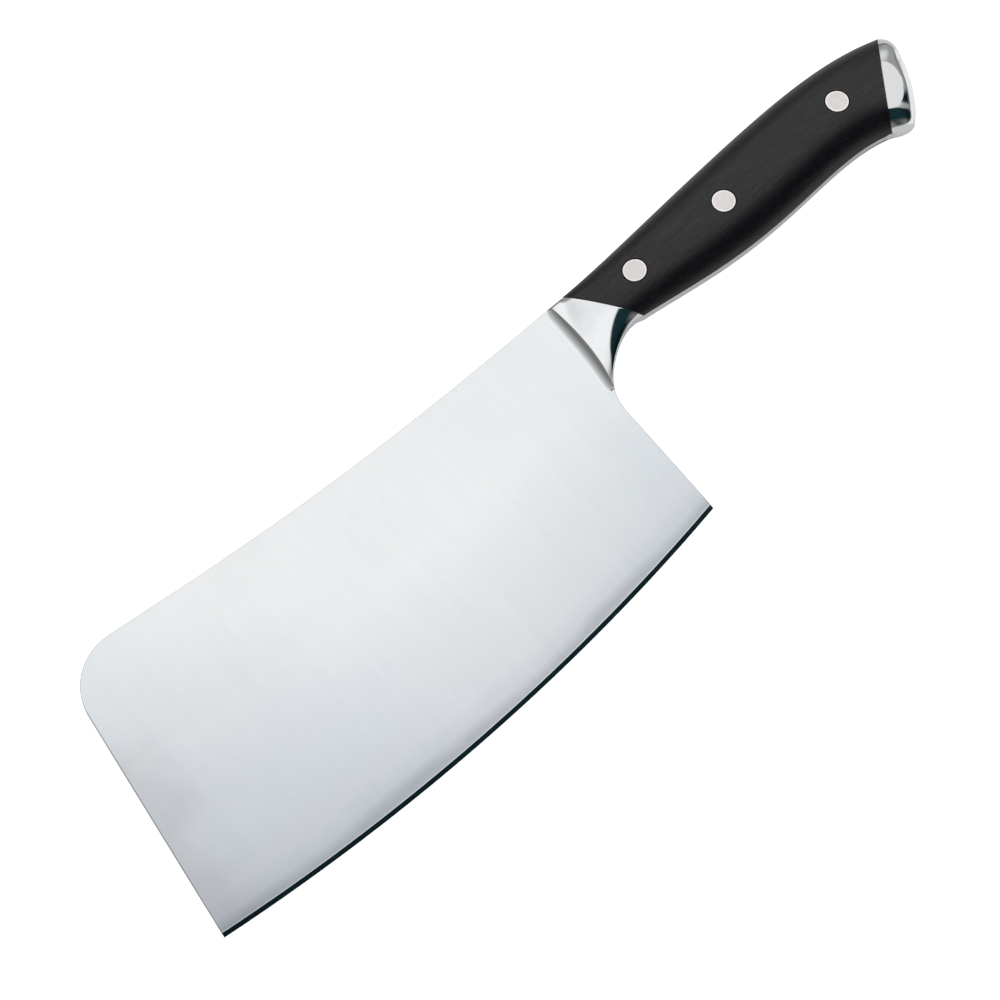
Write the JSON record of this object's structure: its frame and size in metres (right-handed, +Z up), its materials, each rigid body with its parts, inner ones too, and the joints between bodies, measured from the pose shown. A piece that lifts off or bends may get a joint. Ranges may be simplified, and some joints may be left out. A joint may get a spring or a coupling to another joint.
{
  "type": "meat cleaver",
  "caption": "Forged-look cleaver with a broad steel blade, welded bolster and end cap, and black wood handle scales held by flush rivets.",
  "frame": {"origin": "centre of the underside of the bounding box, with the cleaver lying flat on its right side", "axes": "+X from the blade towards the butt of the handle, +Y from the cutting edge towards the spine, +Z up through the thickness, out of the left face"},
  "size_m": [0.2982, 0.0887, 0.016],
  "materials": {
    "blade_steel": "satin, fine lines across the blade",
    "polished_steel": "mirror polished",
    "black_wood": "satin, stained and resin-filled",
    "rivet_metal": "satin",
    "bond_resin": "matte"
  },
  "bodies": {
    "root": {"blade": "blade_steel", "left_bolster": "polished_steel", "right_bolster": "polished_steel", "end_cap": "polished_steel", "left_bond": "bond_resin", "right_bond": "bond_resin", "left_scale": "black_wood", "right_scale": "black_wood", "front_rivet_pin": "rivet_metal", "front_rivet_barrel": "rivet_metal", "middle_rivet_pin": "rivet_metal", "middle_rivet_barrel": "rivet_metal", "rear_rivet_pin": "rivet_metal", "rear_rivet_barrel": "rivet_metal"}
  },
  "joints": []
}
